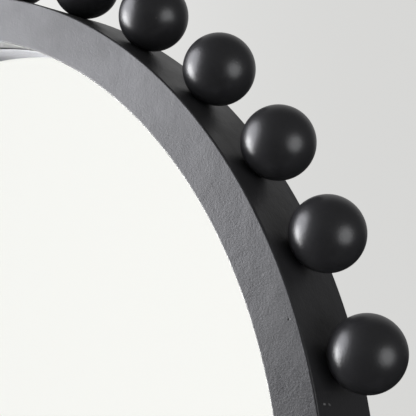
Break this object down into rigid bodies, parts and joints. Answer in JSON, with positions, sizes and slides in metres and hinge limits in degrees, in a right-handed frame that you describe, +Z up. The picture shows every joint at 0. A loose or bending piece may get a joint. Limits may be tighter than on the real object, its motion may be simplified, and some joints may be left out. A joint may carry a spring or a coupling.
{
  "type": "wall mirror",
  "caption": "Arched wall mirror in a deep black wooden frame with turned balls round its outer edge, hung by two hinged D-rings on its back.",
  "frame": {"origin": "on the wall, midway between the two hooks that the mirror hangs from, where the upturned rings bear on them", "axes": "+X to the right seen from the front, +Y into the wall, +Z up"},
  "size_m": [0.659, 0.051, 0.9235],
  "materials": {
    "painted_frame": "black satin paint over straight grained wood",
    "painted_ball": "black satin paint on turned wood",
    "silvered_glass": "polished",
    "backing_board": "plain fibreboard",
    "dowel_wood": "bare",
    "zinc_screw": "zinc plated",
    "hanger_steel": "zinc plated",
    "bumper_rubber": "matt"
  },
  "bodies": {
    "mirror": {"backing_board": "backing_board", "backing_screws": "zinc_screw", "ball_crown": "painted_ball", "ball_dowels": "dowel_wood", "ball_left_arch_1": "painted_ball", "ball_left_arch_2": "painted_ball", "ball_left_arch_3": "painted_ball", "ball_left_arch_4": "painted_ball", "ball_left_arch_5": "painted_ball", "ball_left_arch_6": "painted_ball", "ball_left_arch_7": "painted_ball", "ball_left_arch_8": "painted_ball", "ball_left_side_1": "painted_ball", "ball_left_side_10": "painted_ball", "ball_left_side_11": "painted_ball", "ball_left_side_2": "painted_ball", "ball_left_side_3": "painted_ball", "ball_left_side_4": "painted_ball", "ball_left_side_5": "painted_ball", "ball_left_side_6": "painted_ball", "ball_left_side_7": "painted_ball", "ball_left_side_8": "painted_ball", "ball_left_side_9": "painted_ball", "ball_right_arch_1": "painted_ball", "ball_right_arch_2": "painted_ball", "ball_right_arch_3": "painted_ball", "ball_right_arch_4": "painted_ball", "ball_right_arch_5": "painted_ball", "ball_right_arch_6": "painted_ball", "ball_right_arch_7": "painted_ball", "ball_right_arch_8": "painted_ball", "ball_right_side_1": "painted_ball", "ball_right_side_10": "painted_ball", "ball_right_side_11": "painted_ball", "ball_right_side_2": "painted_ball", "ball_right_side_3": "painted_ball", "ball_right_side_4": "painted_ball", "ball_right_side_5": "painted_ball", "ball_right_side_6": "painted_ball", "ball_right_side_7": "painted_ball", "ball_right_side_8": "painted_ball", "ball_right_side_9": "painted_ball", "bottom_rail": "painted_frame", "crown_segment": "painted_frame", "joint_dowels": "dowel_wood", "left_stile": "painted_frame", "left_strap": "hanger_steel", "lower_left_segment": "painted_frame", "lower_right_segment": "painted_frame", "mirror_glass": "silvered_glass", "right_stile": "painted_frame", "right_strap": "hanger_steel", "strap_screws": "zinc_screw", "upper_left_segment": "painted_frame", "upper_right_segment": "painted_frame", "wall_bumpers": "bumper_rubber"},
    "left_ring": {"left_ring": "hanger_steel"},
    "right_ring": {"right_ring": "hanger_steel"}
  },
  "joints": [
    {"name": "right_ring_swing", "type": "hinge", "parent": "mirror", "child": "right_ring", "pos_m": [0.2836, -0.00312, -0.01325], "axis": [1, 0, 0], "range_deg": [0, 180]},
    {"name": "left_ring_swing", "type": "hinge", "parent": "mirror", "child": "left_ring", "pos_m": [-0.2836, -0.00312, -0.01325], "axis": [1, 0, 0], "range_deg": [0, 180]}
  ]
}
